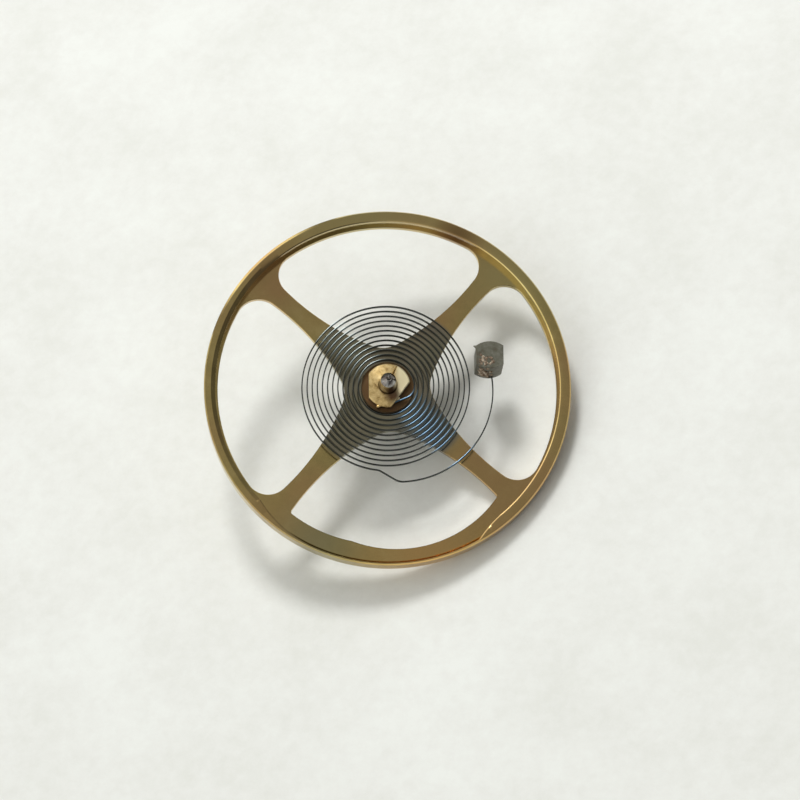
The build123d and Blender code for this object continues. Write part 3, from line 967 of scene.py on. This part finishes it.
# Crumbs on the stud: how far right, back and below its top each one lies, and its radius
CRATER = [(place.x - 0.04, place.y - 0.30, 0.055, 0.085)
          for place in (polar(0.17, 40 * step) for step in range(9))]
CRUMBS = CRATER + [
    (-0.32, -0.14, 0.12, 0.15), (-0.42, -0.02, 0.06, 0.09), (-0.30, -0.32, 0.13, 0.16),
    (-0.46, -0.26, 0.10, 0.13), (-0.20, -0.52, 0.10, 0.12), (0.18, -0.36, 0.06, 0.09),
    (-0.44, -0.44, 0.10, 0.13), (-0.10, -0.60, 0.14, 0.12), (-0.36, -0.55, 0.45, 0.15),
    (-0.20, -0.60, 0.75, 0.16), (-0.40, -0.52, 0.90, 0.15), (-0.08, -0.62, 1.05, 0.14),
    (0.06, -0.62, 0.70, 0.11), (-0.28, -0.58, 1.25, 0.17), (-0.06, -0.63, 1.45, 0.12),
    (-0.44, -0.48, 1.50, 0.12), (0.14, -0.62, 1.25, 0.09),
]


# How fine the pressed mass is, and how far lumps and grit stand out of it. The numbers of lumps and
# of grit grains are per millimetre
GRAIN = 0.022
LUMPS, LUMP_HEIGHT = 9, 0.035
GRIT, GRIT_HEIGHT = 24, 0.018
RUST_TOP = STAFF_TOP - 0.004


def stud_section():
    """The stud seen from above: two flat sides, joined by round ones."""
    radius = (STUD_HALF_WIDTH ** 2 + (STUD_RADIUS - STUD_CORNER) ** 2) / (
        2 * (STUD_RADIUS - STUD_CORNER))
    swing = math.degrees(math.asin(STUD_HALF_WIDTH / radius))
    back = arc((0, STUD_RADIUS - radius), radius, 90 - swing, 90 + swing, 6)
    front = arc((0, radius - STUD_RADIUS), radius, 270 - swing, 270 + swing, 6)
    return back + front


def make_stud():
    """The stud with its cross hole, a burr on the left of its top edge, and its pin."""
    stud = cut_from_sheet("stud_steel", [[point + stud_place for point in stud_section()]],
                          STUD_BOTTOM, STUD_TOP, STUD_EDGE)
    hole = (stud_place.x, stud_place.y, SPRING_LEVEL)
    drill(stud, 40, STUD_HOLE_RADIUS, THROUGH, turn_along(end_heading, hole))
    nothing_selected()
    bpy.ops.mesh.primitive_cone_add(vertices=12, radius1=0.14, radius2=0.02, depth=0.28)
    burr = bpy.context.object
    burr_place = (stud_place.x - 0.66, stud_place.y + 0.40, STUD_TOP - 0.09)
    burr.matrix_world = Matrix.Translation(burr_place) @ turn_towards(Vector((-0.80, 0.30, 0.10)))
    burr.scale = (1.0, 0.5, 1.0)
    settle(burr)
    combine(stud, burr, "UNION")
    finish_piece(stud, "stud", dull_steel, ["stud"], 24)
    make_pin("stud_pin_brass", 0.162, 0.14, 0.77, 0.56, end_heading, hole,
             0.072, "stud_pin", "stud")


def make_stud_rust():
    """Crumbs of rust and old cement, pressed together: a small crater on the top and a heap down
    the front. They stay below the top of the staff."""
    crumbs = []
    for right, back, below, radius in CRUMBS:
        nothing_selected()
        bpy.ops.mesh.primitive_ico_sphere_add(
            subdivisions=3, radius=radius,
            location=(stud_place.x + right, stud_place.y + back, STUD_TOP - below))
        crumbs.append(bpy.context.object)
    in_hand(crumbs[0])
    for crumb in crumbs:
        crumb.select_set(True)
    bpy.ops.object.join()
    heap = bpy.context.object
    heap.name = "stud_rust_and_cement"
    settle(heap)
    remesh = heap.modifiers.new("together", "REMESH")
    remesh.mode, remesh.voxel_size = "VOXEL", GRAIN
    bpy.ops.object.modifier_apply(modifier=remesh.name)
    for vertex in heap.data.vertices:
        lump = noise.noise(vertex.co * LUMPS) * LUMP_HEIGHT
        grit = noise.noise(vertex.co * GRIT) * GRIT_HEIGHT
        vertex.co += vertex.normal * (lump + grit)
        vertex.co.z = min(vertex.co.z, RUST_TOP)
    finish_piece(heap, "stud", rust, (), 50)


make_stud()
make_stud_rust()


# Rollers and impulse pin, under the hub

IMPULSE_DISTANCE = 1.32
IMPULSE_FLAT = 0.09
IMPULSE_HOLE_RADIUS = 0.192
CRESCENT_RADIUS = 0.34
CRESCENT_DISTANCE = 0.90


def make_roller_table():
    table = turned(
        "roller_table_steel",
        [(0.364, ROLLER_BOTTOM), (1.65, ROLLER_BOTTOM), (1.70, 1.47), (1.70, 1.71),
         (1.65, ROLLER_TOP), (0.50, ROLLER_TOP), (0.47, 1.745), (0.364, 1.745)],
        128, closed=True,
    )
    drill(table, 32, IMPULSE_HOLE_RADIUS, 1.0, Matrix.Translation((IMPULSE_DISTANCE, 0, 1.6)))
    finish_piece(table, "balance", polished_steel, ["roller_table"])


def make_safety_roller():
    safety = turned(
        "safety_roller_steel",
        [(0.304, SAFETY_BOTTOM), (0.70, SAFETY_BOTTOM), (0.72, 0.64), (0.72, 0.90),
         (0.70, SAFETY_TOP), (0.52, SAFETY_TOP), (0.52, ROLLER_BOTTOM), (0.304, ROLLER_BOTTOM)],
        96, closed=True,
    )
    drill(safety, 48, CRESCENT_RADIUS, 0.32, Matrix.Translation((CRESCENT_DISTANCE, 0, 0.75)))
    finish_piece(safety, "balance", polished_steel, ["safety_roller"])


def make_impulse_pin():
    pin = turned("impulse_pin_ruby", [(0.16, 0.94), (0.19, 0.97), (0.19, ROLLER_TOP)], 48)
    file_flat(pin, IMPULSE_FLAT)
    pin.location.x = IMPULSE_DISTANCE
    settle(pin)
    finish_piece(pin, "balance", ruby, ["impulse_pin"])


make_roller_table()
make_safety_roller()
make_impulse_pin()


# Paper: the wheel rests on it with its lower pivot and the lower right of its rim

REST_AZIMUTH = 321.0
PAPER_SIZE = 1.2


def make_paper():
    tilt = math.atan2(RIM_BOTTOM, HEEL_RADIUS)
    away = polar(-math.sin(tilt), REST_AZIMUTH)
    nothing_selected()
    bpy.ops.mesh.primitive_grid_add(x_subdivisions=8, y_subdivisions=8, size=PAPER_SIZE)
    sheet = bpy.context.object
    sheet.name = "paper"
    sheet.matrix_world = turn_towards(Vector((away.x, away.y, math.cos(tilt))))
    settle(sheet)
    sheet.data.materials.append(paper)


make_paper()


# Light: a soft lamp at the back, in a room that is bright behind the lamp, less so low in front
# on the left, and dim elsewhere

LAMP_DIRECTION = Vector((-0.264, 0.725, 0.636)).normalized()
LAMP_DISTANCE = 0.30
LAMP_SIZE = 0.084
LAMP_ENERGY = 0.47
BRIGHT_SIDE = Vector((-0.47, 0.68, 0.56)).normalized()
LOW_SIDE = Vector((-0.80, -0.30, 0.50)).normalized()


def light_room():
    world = bpy.data.worlds.new("room")
    bpy.context.scene.world = world
    world.use_nodes = True
    tree = world.node_tree
    direction = add_node(tree, "ShaderNodeTexCoord").outputs["Generated"]
    facing = add_node(tree, "ShaderNodeVectorMath", {0: direction, 1: BRIGHT_SIDE},
                      operation="DOT_PRODUCT")
    share = add_node(tree, "ShaderNodeMapRange", {
        "Value": facing.outputs["Value"], "From Min": -1.0, "From Max": 1.0})
    high = add_node(
        tree, "ShaderNodeValToRGB", {"Fac": share.outputs["Result"]},
        stops=[(0.20, (0.20, 0.20, 0.20, 1)), (0.36, (0.10, 0.10, 0.10, 1)),
               (0.60, (0.13, 0.13, 0.13, 1)), (0.80, (0.31, 0.31, 0.30, 1)),
               (0.92, (0.31, 0.31, 0.30, 1)), (0.975, (1.0, 1.0, 1.0, 1)),
               (1.0, (1.6, 1.6, 1.6, 1))])
    low_facing = add_node(tree, "ShaderNodeVectorMath", {0: direction, 1: LOW_SIDE},
                          operation="DOT_PRODUCT")
    low = add_node(
        tree, "ShaderNodeValToRGB", {"Fac": low_facing.outputs["Value"]},
        stops=[(0.42, (0, 0, 0, 1)), (0.60, (0.45, 0.45, 0.44, 1)),
               (0.78, (0.45, 0.45, 0.44, 1)), (0.92, (1.1, 1.1, 1.05, 1))])
    both = add_node(tree, "ShaderNodeMixRGB", {
        "Fac": 1.0, "Color1": high.outputs["Color"], "Color2": low.outputs["Color"]},
        blend_type="ADD")
    tree.links.new(both.outputs["Color"], tree.nodes["Background"].inputs["Color"])


def place_lamp():
    light = bpy.data.lights.new("lamp", "AREA")
    light.shape = "DISK"
    light.size = LAMP_SIZE
    light.energy = LAMP_ENERGY
    lamp = bpy.data.objects.new("lamp", light)
    bpy.context.scene.collection.objects.link(lamp)
    place = Matrix.Translation(LAMP_DIRECTION * LAMP_DISTANCE)
    lamp.matrix_world = place @ turn_towards(LAMP_DIRECTION)


light_room()
place_lamp()
bpy.context.scene.view_settings.view_transform = "Standard"
